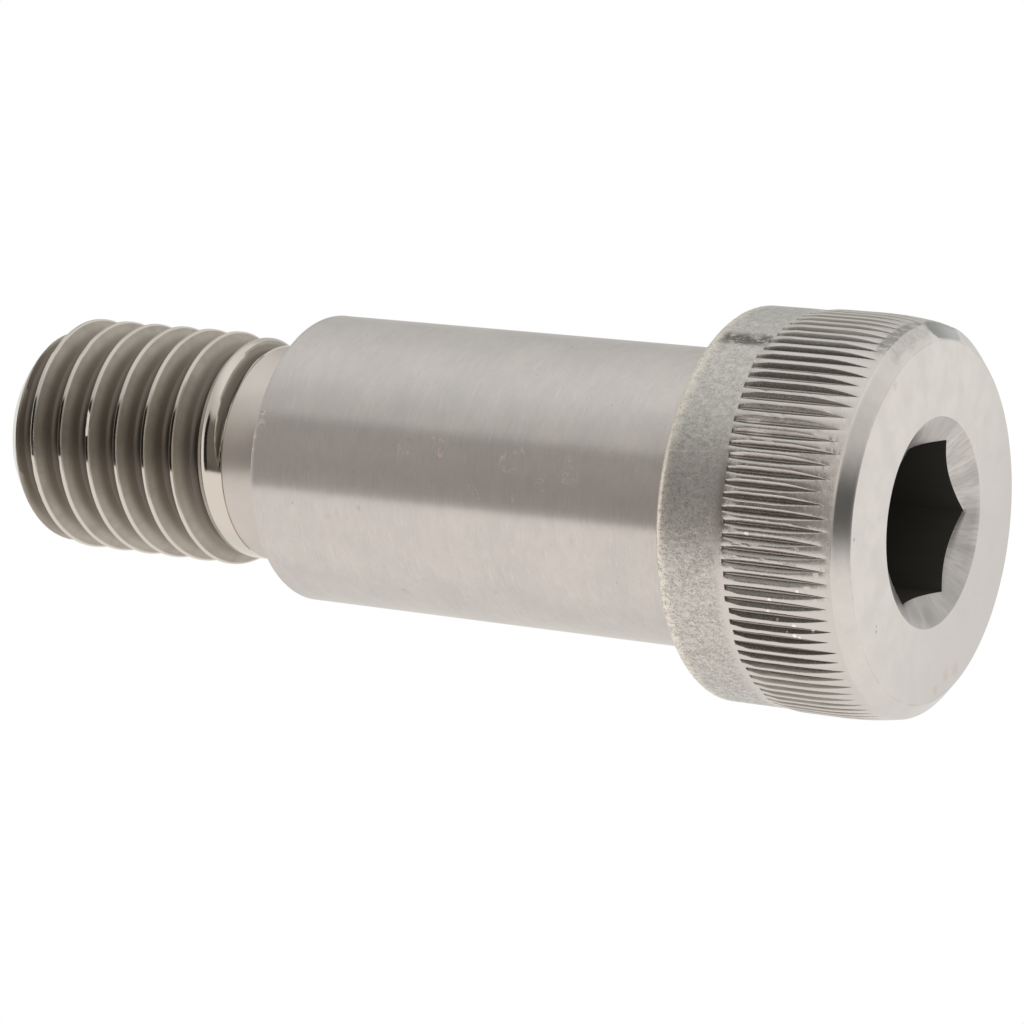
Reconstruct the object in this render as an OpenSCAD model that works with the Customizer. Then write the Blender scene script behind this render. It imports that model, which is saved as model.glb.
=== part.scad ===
// Socket head shoulder bolt, 3/4 inch series, one turned and rolled piece of stainless steel.
// It stands on its head: the origin is the centre of the head's outer face and the thread points up.

/* [Shoulder] */
// Diameter of the ground shoulder
shoulder_d = 19.05; // [18:0.05:21]
// Length of the shoulder, from the bearing face to its far end
shoulder_len = 31.75; // [15:0.25:80]
// Chamfer on the far end of the shoulder
shoulder_edge = 0.1; // [0.05:0.05:0.8]
// Fillet where the shoulder meets the bearing face
root_fillet = 0.4; // [0.1:0.05:0.8]

/* [Head] */
// Diameter of the plain band of the head
head_d = 25; // [23.4:0.1:32]
// Height of the head
head_h = 12.7; // [11.5:0.1:16]
// Height of the plain band, next to the bearing face
band_len = 4.2; // [1.5:0.1:5]
// Rounding of the rim at the bearing face
rim_round = 0.5; // [0.2:0.05:1]
// How far the knurled crown stands above the plain band, on the radius
crown_raise = 0.1; // [0:0.01:0.25]
// Length over which the crown curves in, towards the face
crown_len = 3.75; // [2:0.05:4.5]
// How far the crown curves in over that length
crown_drop = 0.34; // [0.2:0.01:0.6]
// Length over which the crown slopes back down to the plain band
crown_back = 1.2; // [0.4:0.1:2]
// Height of the turned ring between crown and face
ring_len = 0.95; // [0.6:0.05:2]
// Width of the turned ring, on the radius
ring_w = 0.96; // [0.6:0.02:1.6]

/* [Knurl] */
// Number of straight knurl grooves
knurl_count = 98; // [60:1:105]
// Depth of a groove below the crown's highest line
knurl_depth = 0.33; // [0.2:0.01:0.4]
// Angle between the two flanks of a groove
knurl_angle = 88; // [60:1:90]

/* [Socket] */
// Width across the flats of the hexagon socket
socket_af = 9.525; // [7:0.005:11]
// Depth of the hexagon below the face
socket_depth = 7.5; // [5:0.1:9]
// Included angle of the drill point under the hexagon
drill_angle = 118; // [90:1:140]
// Diameter of the countersink at the face
countersink_d = 13.1; // [13:0.1:17]
// Included angle of the countersink
countersink_angle = 120; // [90:1:130]

/* [Thread] */
// Outer diameter of the thread
thread_d = 15.75; // [14:0.05:16]
// Pitch of the thread, eleven turns to the inch
thread_pitch = 2.309; // [1.5:0.001:2.6]
// Length from the far end of the shoulder to the tip
thread_end_len = 22.225; // [16:0.1:40]
// Length of the tapered neck next to the shoulder
neck_len = 3.95; // [2:0.05:6]
// How far the neck's narrow end lies below the crests, on the radius
neck_step = 1.3; // [0.9:0.05:1.6]
// Fillet where the neck meets the far end of the shoulder
neck_fillet = 0.5; // [0.2:0.05:0.8]
// How far the blank that the thread was rolled on lies below the crests, on the radius
blank_step = 0.66; // [0.5:0.01:0.75]
// Width of the chamfer at the tip, on the radius
tip_chamfer = 1.8; // [1.2:0.05:2.4]
// Angle of the first crest round the bolt, where it leaves the tip
thread_start = -8.6; // [-180:0.1:180]
// Turns over which the last crest fades into the blank
crest_fade = 1; // [0.5:0.05:1.5]
// Turns over which the last groove fades into the blank
groove_fade = 0.4; // [0.2:0.05:1]
// Flat steps in one turn of the thread
thread_steps = 48; // [30:2:60]

/* [Hidden] */
steel = [0.70, 0.68, 0.66];

// Radii and heights, from the face of the head upwards
shoulder_r = shoulder_d / 2;
band_r = head_d / 2;
crown_r = band_r + crown_raise;
ring_r = crown_r - crown_drop;
face_r = ring_r - ring_w;
thread_r = thread_d / 2;
neck_r = thread_r - neck_step;
blank_r = thread_r - blank_step;
tip_r = thread_r - tip_chamfer;
shoulder_end = head_h + shoulder_len;
land_z = shoulder_end + neck_len;
tip_z = shoulder_end + thread_end_len;
overlap = 0.5;
round_sides = 96;

// The crown is an arc that starts upright at its widest line
crown_arc_r = (pow(crown_len, 2) + pow(crown_drop, 2)) / (2 * crown_drop);
crown_slope = asin(crown_len / crown_arc_r);
crown_top = ring_len + crown_len;
band_z = head_h - band_len;
crown_ramp = min(crown_back, (band_z - crown_top) / 2);
crown_steps = 4;
ring_steps = 5;
rim_steps = 4;
// The ring leaves the crown along its slope, for this share of its height
ring_lead = 0.4;

// Knurl grooves: a star outline whose valleys are the groove bottoms, and whose lips lie just outside
// the crown, with a ridge left between two grooves
knurl_lip = 0.05;
knurl_share = 0.945;
knurl_root_r = crown_r - knurl_depth;
knurl_lip_r = crown_r + knurl_lip;
knurl_half = (knurl_lip_r - knurl_root_r) * tan(knurl_angle / 2);
knurl_half_angle = min(atan(knurl_half / knurl_lip_r), knurl_share * 180 / knurl_count);

// Thread form: sixty degree flanks with a narrow crest and a rounded root, in shares of the pitch
crest_share = 0.1;
root_share = 0.3;
root_hollow = 0.05;
crest_lead = 0.3;
groove_lead = 0.1;
flank_angle = 30;
flank_depth = thread_pitch * (0.5 - (crest_share + root_share) / 2) / tan(flank_angle);
root_depth = flank_depth + root_hollow * thread_pitch;
thread_rows = [
    [-crest_share / 2, 0],
    [crest_share / 2, 0],
    [0.5 - root_share / 2, flank_depth],
    [0.5, root_depth],
    [0.5 + root_share / 2, flank_depth]
];
rows = len(thread_rows);

// The neck ends just below the blank, in a small lip
blank_lip = 0.06;
neck_end_r = blank_r - blank_lip;
trim_r = thread_r + overlap;
trim_z = land_z - 4 * blank_lip;
turns_down = ceil((tip_z - trim_z) / thread_pitch) + 2;
thread_base = tip_z - thread_pitch * (turns_down + thread_start / 360);
last_step = thread_steps * (turns_down + 1);
crest_z = land_z + crest_lead * thread_pitch;
groove_z = land_z + groove_lead * thread_pitch;

// Points of a curve from p to q that is pulled towards c, without q itself
function curve(p, c, q, steps) = [
    for (i = [0:steps - 1])
        let (u = i / steps)
        p * pow(1 - u, 2) + 2 * c * u * (1 - u) + q * u * u
];

// Points of an arc about c, from angle a to angle b
function arc(c, r, a, b, steps) = [
    for (i = [0:steps])
        let (t = a + (b - a) * i / steps)
        c + r * [cos(t), sin(t)]
];

// The head without its grooves and socket
module head_blank() {
    ring_top = [ring_r, ring_len];
    ring_pull = ring_top - ring_lead * ring_len * [tan(crown_slope), 1];
    outline = concat(
        [[0, 0]],
        curve([face_r, 0], ring_pull, ring_top, ring_steps),
        arc([crown_r - crown_arc_r, crown_top], crown_arc_r, -crown_slope, 0, crown_steps),
        [[crown_r, band_z - crown_ramp], [band_r, band_z]],
        arc([band_r - rim_round, head_h - rim_round], rim_round, 0, 90, rim_steps),
        [[0, head_h]]
    );
    rotate_extrude($fn = round_sides) polygon(outline);
}

// What the knurling presses out of the crown, from the plain band down past the face
module knurl_grooves() {
    star = [
        for (i = [0:knurl_count - 1], side = [0:2])
            let (
                middle = (i + 0.5) * 360 / knurl_count,
                turn = middle + (side - 1) * knurl_half_angle,
                reach = side == 1 ? knurl_root_r : knurl_lip_r
            )
            reach * [cos(turn), sin(turn)]
    ];
    translate([0, 0, -overlap])
    linear_extrude(band_z + overlap)
    difference() {
        circle(r = crown_r + overlap, $fn = round_sides);
        polygon(star);
    }
}

// Hexagon with its countersink and the drill point that the broach leaves behind
module socket() {
    hex_r = socket_af / 2 / cos(30);
    drill_r = socket_af / 2;
    drill_h = drill_r / tan(drill_angle / 2);
    cone_r = countersink_d / 2;
    cone_h = cone_r / tan(countersink_angle / 2);
    lead_r = cone_r * (1 + overlap / cone_h);
    translate([0, 0, -overlap])
    cylinder(r = hex_r, h = socket_depth + overlap, $fn = 6);
    rotate_extrude($fn = round_sides)
    polygon([
        [0, socket_depth - overlap],
        [drill_r, socket_depth - overlap],
        [drill_r, socket_depth],
        [0, socket_depth + drill_h]
    ]);
    rotate_extrude($fn = round_sides)
    polygon([[0, -overlap], [lead_r, -overlap], [0, cone_h]]);
}

// Ground shoulder with its fillet at the head and its chamfer at the thread
module shoulder() {
    fillet_r = shoulder_r + root_fillet;
    outline = concat(
        [[0, head_h - overlap], [fillet_r, head_h - overlap]],
        arc([fillet_r, head_h + root_fillet], root_fillet, 270, 180, rim_steps),
        [
            [shoulder_r, shoulder_end - shoulder_edge],
            [shoulder_r - shoulder_edge, shoulder_end],
            [0, shoulder_end]
        ]
    );
    rotate_extrude($fn = round_sides) polygon(outline);
}

// Tapered neck, with a core that reaches up into the thread
module neck() {
    core_r = thread_r - root_depth - overlap;
    fillet_r = neck_r + neck_fillet;
    outline = concat(
        [[0, shoulder_end - overlap], [fillet_r, shoulder_end - overlap]],
        arc([fillet_r, shoulder_end + neck_fillet], neck_fillet, 270, 180, rim_steps),
        [[neck_end_r, land_z], [core_r, land_z], [core_r, land_z + overlap], [0, land_z + overlap]]
    );
    rotate_extrude($fn = round_sides) polygon(outline);
}

// Share from 0 at a height to 1 some turns above it, smooth at both ends
function fade(z, start, turns) =
    let (share = min(1, max(0, (z - start) / (turns * thread_pitch))))
    share * share * (3 - 2 * share);

// The thread is a ribbon one pitch wide, wound up the bolt: each step has one point for each row,
// and the ribbon's upper edge is the lower edge of the turn above it. Rolling raised the crests above
// the blank and sank the roots below it, and both fade out at the neck
function thread_point(step, row) =
    let (
        form = thread_rows[row],
        z = thread_base + thread_pitch * (step / thread_steps + form[0]),
        rise = blank_step - form[1],
        share = rise > 0 ? fade(z, crest_z, crest_fade) : fade(z, groove_z, groove_fade),
        r = blank_r + rise * share,
        a = 360 * step / thread_steps
    )
    [r * cos(a), r * sin(a), z];

// Number of the point at a step and row
function at(step, row) =
    row == rows ? at(step + thread_steps, 0)
    : step <= last_step ? step * rows + row
    : (last_step + 1) * rows + step - last_step - 1;

// Triangles from a centre to each stretch of an edge that closes on itself
function fan(centre, edge) = [
    for (i = [0:len(edge) - 1])
        [centre, edge[i], edge[(i + 1) % len(edge)]]
];

// Right-hand thread as one closed helical skin, longer than the bolt at both ends
module thread_skin() {
    low_centre = at(last_step + thread_steps, 0) + 1;
    points = concat(
        [for (step = [0:last_step], row = [0:rows - 1]) thread_point(step, row)],
        [for (step = [last_step + 1:last_step + thread_steps]) thread_point(step, 0)],
        [[0, 0, thread_base - thread_pitch]],
        [[0, 0, thread_base + thread_pitch * (turns_down + 3)]]
    );
    ribbon = [
        for (step = [0:last_step - 1], row = [0:rows - 1])
            each [
                [at(step, row), at(step, row + 1), at(step + 1, row + 1)],
                [at(step, row), at(step + 1, row + 1), at(step + 1, row)]
            ]
    ];
    low_edge = concat(
        [for (step = [0:thread_steps]) at(step, 0)],
        [for (row = [rows - 1:-1:1]) at(0, row)]
    );
    high_edge = concat(
        [for (step = [last_step + thread_steps:-1:last_step]) at(step, 0)],
        [for (row = [1:rows - 1]) at(last_step, row)]
    );
    polyhedron(
        points = points,
        faces = concat(ribbon, fan(low_centre, low_edge), fan(low_centre + 1, high_edge))
    );
}

// Thread cut to length: down to the neck's lip below, chamfered at the tip above
module thread() {
    intersection() {
        thread_skin();
        rotate_extrude($fn = round_sides)
        polygon([
            [0, trim_z],
            [blank_r + (trim_z - land_z), trim_z],
            [trim_r, land_z + trim_r - blank_r],
            [trim_r, tip_z - (trim_r - tip_r)],
            [tip_r, tip_z],
            [0, tip_z]
        ]);
    }
}

module shoulder_bolt() {
    color(steel)
    difference() {
        union() {
            difference() {
                head_blank();
                knurl_grooves();
            }
            shoulder();
            neck();
            thread();
        }
        socket();
    }
}

shoulder_bolt();
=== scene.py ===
import random
from math import atan2, ceil, cos, degrees, hypot, pi, radians, sin, sqrt, tan

import bpy
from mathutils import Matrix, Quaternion, Vector, noise


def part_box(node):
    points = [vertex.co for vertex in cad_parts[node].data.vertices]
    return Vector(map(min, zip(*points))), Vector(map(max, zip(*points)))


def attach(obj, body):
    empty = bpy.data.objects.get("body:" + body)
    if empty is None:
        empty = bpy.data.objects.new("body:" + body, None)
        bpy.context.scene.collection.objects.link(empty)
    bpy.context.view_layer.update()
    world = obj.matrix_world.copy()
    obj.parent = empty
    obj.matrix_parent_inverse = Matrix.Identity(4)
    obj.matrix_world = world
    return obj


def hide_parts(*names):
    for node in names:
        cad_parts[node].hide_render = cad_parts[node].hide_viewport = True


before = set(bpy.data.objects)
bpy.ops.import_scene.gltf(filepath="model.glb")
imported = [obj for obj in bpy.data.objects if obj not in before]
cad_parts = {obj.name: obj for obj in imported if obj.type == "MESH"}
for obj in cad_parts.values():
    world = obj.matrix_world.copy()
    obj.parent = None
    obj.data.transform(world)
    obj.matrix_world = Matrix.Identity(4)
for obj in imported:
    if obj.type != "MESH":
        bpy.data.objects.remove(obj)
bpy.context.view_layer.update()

# The bolt is modelled in millimetres and brought to metres when it is whole
metre = 1000
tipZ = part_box("shoulder_bolt")[1].z * metre
weld, looseWeld = 0.0005, 0.0008  # points nearer than this are joined, in two strengths
hair = 0.001  # slack on either side of a height that is looked for
lowSide = 157.5  # angle of the side that is low in the photo

# Small helpers for modelling


def pick(piece):
    if bpy.context.object and bpy.context.object.mode == "EDIT":
        bpy.ops.object.mode_set(mode="OBJECT")
    bpy.ops.object.select_all(action="DESELECT")
    piece.select_set(True)
    bpy.context.view_layer.objects.active = piece


def drawOutline(name, points):
    # a line of vertices in the XZ plane, one extruded from the next
    bpy.ops.object.select_all(action="DESELECT")
    bpy.ops.mesh.primitive_plane_add(size=0.01, location=(points[0][0], 0, points[0][1]))
    piece = bpy.context.object
    piece.name = name
    bpy.ops.object.transform_apply(location=True)
    bpy.ops.object.mode_set(mode="EDIT")
    bpy.ops.mesh.merge(type="CENTER")
    for (r0, z0), (r1, z1) in zip(points, points[1:]):
        bpy.ops.mesh.extrude_region_move(TRANSFORM_OT_translate={"value": (r1 - r0, 0, z1 - z0)})
    bpy.ops.object.mode_set(mode="OBJECT")
    return piece


def windOutline(piece, columns, rise=0.0, turns=1):
    # turns the outline about the bolt's axis, and up it where it rises
    pick(piece)
    winding = piece.modifiers.new("winding", "SCREW")
    winding.axis = "Z"
    winding.angle = 2 * pi
    winding.screw_offset = rise
    winding.iterations = turns
    winding.steps = winding.render_steps = columns
    winding.use_merge_vertices = True
    winding.merge_threshold = weld
    bpy.ops.object.modifier_apply(modifier=winding.name)
    bpy.ops.object.mode_set(mode="EDIT")
    bpy.ops.mesh.select_all(action="SELECT")
    bpy.ops.mesh.remove_doubles(threshold=looseWeld)
    bpy.ops.mesh.normals_make_consistent(inside=False)
    bpy.ops.object.mode_set(mode="OBJECT")


def turnPiece(name, points, columns):
    piece = drawOutline(name, points)
    windOutline(piece, columns)
    return piece


def arc(centre, radius, start, end, steps):
    angles = [radians(start + (end - start) * i / steps) for i in range(steps + 1)]
    return [(centre[0] + radius * cos(a), centre[1] + radius * sin(a)) for a in angles]


def even(low, high, step):
    # heights from low to high at about this step, both ends included
    count = max(1, ceil((high - low) / step))
    return [low + (high - low) * i / count for i in range(count + 1)]


def fade(value, low, high):
    # 0 below low, 1 above high, smooth between
    share = min(1, max(0, (value - low) / (high - low)))
    return share * share * (3 - 2 * share)


def within(value, low, high, soft):
    # 1 between low and high, 0 outside, smooth at both
    return fade(value, low - soft, low + soft) * (1 - fade(value, high - soft, high + soft))


def lumps(place, size, seed=0):
    # smooth noise from about -1 to 1 with lumps of this size
    return noise.noise(Vector((place.x / size + seed * 7.3, place.y / size, place.z / size)))


def between(points, value):
    # straight lines through a few points
    for (x0, y0), (x1, y1) in zip(points, points[1:]):
        if value <= x1:
            return y0 + (y1 - y0) * min(1, max(0, (value - x0) / (x1 - x0)))
    return points[-1][1]


# Head: turned blank, then its band is pitted and its knurling pressed in

head = {
    "height": 12.7,
    "faceR": 11.28,  # flat face, inside the turned ring
    "ringTopR": 12.26,
    "ringHeight": 0.95,
    "crownR": 12.59,
    "crownHeight": 3.75,
    "slopeBack": 1.2,
    "knurlEnd": 8.5,  # where the knurling starts, next to the plain band
    "bandR": 12.48,
    "rimRound": 0.5,
    "columns": 784,  # eight for each knurl groove
}
knurl = {
    "count": 98,
    "rootR": 12.27,
    "flankAngle": 44,
    "seed": 11,
    # how high the grooves start on the band, by the angle round the head
    "starts": [(-180, 8.1), (-168, 7.97), (-150, 8.04), (-138, 7.9), (-115, 8.0), (-99, 8.25),
               (-84, 8.5), (-62, 8.86), (-50, 8.5), (-20, 8.4), (60, 8.3), (180, 8.1)],
    # places across a groove, the first on the ridge, with the share of the depth there
    "section": [(-0.5, 0), (-1, 0), (-0.89, 0.05), (-0.16, 0.8), (0, 0.83), (0.16, 0.8), (0.89, 0.05),
                (1, 0)],
    "ridgeWear": 0.08,
}
band = {
    # hollows left by the forging: (size, level where they start, depth, seed)
    "dents": [(0.45, 0.25, 0.05, 1), (0.22, 0.3, 0.04, 2)],
    "swell": 0.012,
    # a rough strip across the band: (from angle, to angle), (lowest, highest), depth
    "strip": ((-59.5, -54.5), (8.7, 11.9), 0.1),
}
scar = {
    # the part of the rim that the lathe missed, and the smooth dent beside it
    "from": -57,
    "to": -33,
    "low": 0.25,
    "high": 1.5,
    "dentAt": -21.5,
    "dentWide": 11.5,
    "dentHeight": 0.65,
    "dentTall": 0.85,
    "dentDeep": 0.17,
}
crownDrop = head["crownR"] - head["ringTopR"]
crownArc = (head["crownHeight"] ** 2 + crownDrop ** 2) / (2 * crownDrop)
crownTop = head["ringHeight"] + head["crownHeight"]


def crownRadius(z):
    # the head's radius before it is knurled, above the ring
    if z < crownTop:
        return head["crownR"] - crownArc + sqrt(crownArc ** 2 - (crownTop - z) ** 2)
    back = fade(z, head["knurlEnd"] - head["slopeBack"], head["knurlEnd"])
    return head["crownR"] + (head["bandR"] - head["crownR"]) * back


def headOutline():
    faceR, rim, height = head["faceR"], head["rimRound"], head["height"]
    points = [(faceR - 0.45, 0), (faceR - 0.12, 0), (faceR - 0.02, 0.002), (faceR + 0.04, 0.035)]
    points += [(faceR + 0.24, 0.21), (faceR + 0.46, 0.4), (faceR + 0.68, 0.59)]
    points += [(faceR + 0.84, 0.72), (faceR + 0.92, 0.80), (faceR + 0.96, 0.87)]
    points += [(crownRadius(z), z) for z in even(head["ringHeight"], 2.1, 0.125)]
    points += [(crownRadius(z), z) for z in even(2.1, head["knurlEnd"] - 0.05, 0.32)[1:]]
    points += [(head["bandR"], z) for z in even(head["knurlEnd"], height - rim, 0.2)]
    points += arc((head["bandR"] - rim, height - rim), rim, 15, 90, 5)
    points += [(head["bandR"] - rim - 0.25, height), (shoulder["radius"] + 1.6, height)]
    return points


def knurlFacts():
    # what sets each groove apart from the next
    draw = random.Random(knurl["seed"])
    return [
        {
            "tip": min(1.7, max(0.97, draw.gauss(1.24, 0.2))),
            "deep": draw.gauss(0, 0.012),
            "wide": draw.gauss(1, 0.035),
            "drift": draw.gauss(0, 0.018),
            "start": draw.gauss(0, 0.06),
            "seed": draw.random() * 50,
        }
        for _ in range(knurl["count"])
    ]


def pressKnurls(piece):
    columns, pitch = head["columns"], 2 * pi / knurl["count"]
    section = knurl["section"]
    perKnurl = len(section)
    lastRow, opening = head["knurlEnd"] - 0.05, tan(radians(knurl["flankAngle"]))
    facts = knurlFacts()
    mesh = piece.data
    pressed = mesh.attributes.new("pressed", "FLOAT", "POINT")
    shares = [0.0] * len(mesh.vertices)
    for vertex in mesh.vertices:
        x, y, z = vertex.co
        if z < 0.5 or z > head["height"] - head["rimRound"]:
            continue
        angle = atan2(y, x)
        column = round(angle / (2 * pi) * columns) % columns
        groove = facts[column // perKnurl]
        slot = column % perKnurl
        across, cut = section[slot]
        turnAngle = (column // perKnurl + 0.5) * 360 / knurl["count"]
        start = between(knurl["starts"], (turnAngle + 180) % 360 - 180) + groove["start"]
        # the first rows of the band and the last of the knurling follow the uneven start
        if z < head["knurlEnd"] - 0.01:
            z += (start - head["knurlEnd"]) * fade(z, 4.5, lastRow)
        else:
            z += (start - head["knurlEnd"]) * (1 - fade(z, head["knurlEnd"], head["knurlEnd"] + 2.2))
        level = min(max(vertex.co.z, head["ringHeight"]), lastRow)
        surface = crownRadius(level)
        wave = noise.noise(Vector((groove["seed"], 0, level * 0.9)))
        tipRise = crownRadius(groove["tip"]) - knurl["rootR"]
        root = knurl["rootR"] + tipRise * (1 - fade(level, groove["tip"], groove["tip"] + 3.2))
        root += (groove["deep"] + 0.012 * wave) * fade(level, groove["tip"], groove["tip"] + 1)
        depth = max(0.0, surface - root)
        half = min(max(depth * opening * groove["wide"] / surface, 0.02 * pitch), 0.44 * pitch)
        middle = (column // perKnurl + 0.5 + groove["drift"]) * pitch
        turn = middle + across * half if slot else (column // perKnurl) * pitch
        settle = fade(vertex.co.z, 0.55, head["ringHeight"] - 0.03)
        turn = angle + (((turn - angle + pi) % (2 * pi)) - pi) * settle
        radius = hypot(x, y)
        if head["ringHeight"] - 0.01 < vertex.co.z < head["knurlEnd"] - 0.03 and slot:
            radius -= depth * cut
            # how far into a groove, which sets the painted shade there
            shares[vertex.index] = (1 - abs(across)) * fade(depth, 0.0, 0.1)
        elif not slot and head["ringHeight"] < vertex.co.z < head["knurlEnd"]:
            # nicks and flats on the ridges
            worn = knurl["ridgeWear"] * max(0, lumps(vertex.co, 0.5, 5) - 0.32) + 0.01 * wave
            radius -= worn * fade(vertex.co.z, 1.8, 2.6)
        vertex.co = (radius * cos(turn), radius * sin(turn), z)
    pressed.data.foreach_set("value", shares)


def roughenHead(piece):
    # the plain band was left rough by the forging, and the lathe missed a part of the rim
    low, high = head["knurlEnd"] - 0.4, head["height"] + 0.01
    stripTurn, stripRise, stripDeep = band["strip"]
    mesh = piece.data
    raw = mesh.attributes.new("raw", "FLOAT", "POINT")
    dented = mesh.attributes.new("dented", "FLOAT", "POINT")
    shares, hollows = [0.0] * len(mesh.vertices), [0.0] * len(mesh.vertices)
    for vertex in mesh.vertices:
        place = vertex.co
        out = Vector((place.x, place.y, 0)).normalized()
        angle = degrees(atan2(place.y, place.x))
        if low < place.z < high:
            strength = fade(place.z, low + 0.4, low + 0.9) * (1 - 0.8 * fade(place.z, high - 0.3, high))
            dents = sum(
                max(0, lumps(place, size, seed) - start) * deep for size, start, deep, seed in band["dents"]
            )
            swell = lumps(place, 2.2, 3) * band["swell"]
            strip = within(angle, *stripTurn, 1.2) * within(place.z, *stripRise, 0.3)
            shares[vertex.index] = strip
            torn = strip * stripDeep * (0.4 + lumps(place, 0.3, 6))
            vertex.co = place + out * (strength * (swell - dents) - torn)
        elif place.z < 2.2 and hypot(place.x, place.y) > head["faceR"] - 0.2 and -70 < angle < -10:
            wobble = 2.5 * lumps(place, 1.2, 7)
            patch = within(angle + wobble, scar["from"], scar["to"], 1.5)
            patch *= within(place.z + 0.2 * lumps(place, 0.9, 8), scar["low"], scar["high"], 0.12)
            shares[vertex.index] = 0.6 * patch
            move = patch * (0.03 + 0.07 * lumps(place, 0.35, 9))
            across = (angle - scar["dentAt"]) / scar["dentWide"]
            along = (place.z - scar["dentHeight"]) / scar["dentTall"]
            dent = max(0, 1 - across ** 2 - along ** 2)
            hollows[vertex.index] = fade(dent, 0.05, 0.35) * fade(place.z, 0.03, 0.2)
            vertex.co = place + out * (move - scar["dentDeep"] * sqrt(dent) * min(1, 3 * dent))
    raw.data.foreach_set("value", shares)
    dented.data.foreach_set("value", hollows)


def makeHead():
    piece = turnPiece("head", headOutline(), head["columns"])
    pressKnurls(piece)
    roughenHead(piece)
    print("head turned, knurled and pitted")
    return piece


# Socket: a ring of vertices pressed down the countersink, on to the hexagon and down its walls

socket = {
    "flatR": 4.7625,  # half the width across the flats
    "depth": 7.5,
    "drillAngle": 59,
    "mouthR": 6.55,
    "mouthAngle": 60,
    "columns": 192,
}


def hexRadius(angle):
    side = (angle + pi / 6) % (pi / 3) - pi / 6
    return socket["flatR"] / cos(pi / 6 - abs(side))


def makeSocket():
    columns, mouthR, depth = socket["columns"], socket["mouthR"], socket["depth"]
    slope = 1 / tan(radians(socket["mouthAngle"]))
    bpy.ops.object.select_all(action="DESELECT")
    bpy.ops.mesh.primitive_circle_add(vertices=columns, radius=mouthR + 0.5)
    piece = bpy.context.object
    piece.name = "socket"
    # each ring is what it lies on, and how far out, along or down it is
    rings = [("flat", 0.1), ("flat", 0.015)]
    rings += [("cone", share) for share in (0.02, 0.25, 0.5, 0.75, 0.96)]
    rings += [("wall", 0.03), ("wall", 0.25), ("deep", 1.6), ("deep", depth - 0.02), ("deep", depth)]
    rings += [("drill", 1.0), ("drill", 0.5)]
    step = 0.01  # the rings lie this far apart until they are put in place
    bpy.ops.object.mode_set(mode="EDIT")
    bpy.ops.mesh.select_all(action="SELECT")
    for _ in range(len(rings) + 1):
        bpy.ops.mesh.extrude_region_move(TRANSFORM_OT_translate={"value": (0, 0, step)})
    bpy.ops.mesh.merge(type="CENTER")  # the last ring is the drill's point
    bpy.ops.mesh.select_all(action="SELECT")
    bpy.ops.mesh.normals_make_consistent(inside=True)  # the walls of a hole face its axis
    bpy.ops.object.mode_set(mode="OBJECT")
    for vertex in piece.data.vertices:
        x, y, z = vertex.co
        if hypot(x, y) < 1:
            vertex.co = (0, 0, depth + socket["flatR"] / tan(radians(socket["drillAngle"])))
            continue
        index = round(z / step) - 1
        if index < 0:
            continue
        angle = atan2(y, x) % (2 * pi)
        hexR = hexRadius(angle)
        edge = (mouthR - hexR) * slope
        kind, value = rings[index]
        if kind == "flat":
            radius, height = mouthR + value, 0
        elif kind == "cone":
            radius = mouthR + (hexR - mouthR) * value
            height = (mouthR - radius) * slope
        elif kind == "wall":
            radius, height = hexR, edge + value
        elif kind == "deep":
            radius, height = hexR, value
        else:
            radius = socket["flatR"] * value
            height = depth + (socket["flatR"] - radius) / tan(radians(socket["drillAngle"]))
        vertex.co = (radius * cos(angle), radius * sin(angle), height)
    print("socket broached")
    return piece


# Shoulder: ground cylinder with its fillet and its crisp far edge

shoulder = {
    "radius": 9.525,
    "length": 31.75,
    "fillet": 0.4,
    "edge": 0.1,
    "columns": 256,
}
shoulderEnd = head["height"] + shoulder["length"]


def makeShoulder():
    radius, fillet, edge = shoulder["radius"], shoulder["fillet"], shoulder["edge"]
    low = head["height"]
    points = [(radius + fillet + 0.3, low), (radius + fillet + 0.05, low)]
    points += arc((radius + fillet, low + fillet), fillet, 270, 180, 5)
    points += [(radius, low + fillet + 0.05)]
    points += [(radius, z) for z in even(low + 4, shoulderEnd - 4, 6)]
    points += [(radius, shoulderEnd - edge - 0.2), (radius + 0.008, shoulderEnd - edge - 0.02)]
    points += arc((radius - edge, shoulderEnd - edge), edge, 5, 85, 3)
    points += [(radius - edge - 0.08, shoulderEnd), (radius - edge - 0.4, shoulderEnd)]
    piece = turnPiece("shoulder", points, shoulder["columns"])
    print("shoulder turned")
    return piece


# Neck: a tapered groove between the shoulder and the thread

neck = {
    "smallR": 6.575,
    "length": 3.95,
    # it widens towards the thread: (share of its length, radius)
    "taper": [(0.0, 6.5), (0.3, 6.52), (0.65, 6.81), (1.0, 7.15)],
    "fillet": 0.5,
    "columns": 192,
}
landZ = shoulderEnd + neck["length"]


def makeNeck():
    smallR, fillet = neck["smallR"], neck["fillet"]
    points = [(smallR + fillet + 0.35, shoulderEnd), (smallR + fillet + 0.05, shoulderEnd)]
    points += arc((smallR + fillet, shoulderEnd + fillet), fillet, 270, 188, 6)
    start = points[-1]
    for share in (0.3, 0.45, 0.6, 0.75, 0.9, 1):
        radius = between(neck["taper"], share)
        points.append((radius, start[1] + (landZ - 0.03 - start[1]) * share))
    piece = turnPiece("neck", points, neck["columns"])
    print("neck turned")
    return piece


# Thread: one pitch of its form is wound up the bolt, faded at the neck, chamfered and cut

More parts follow.
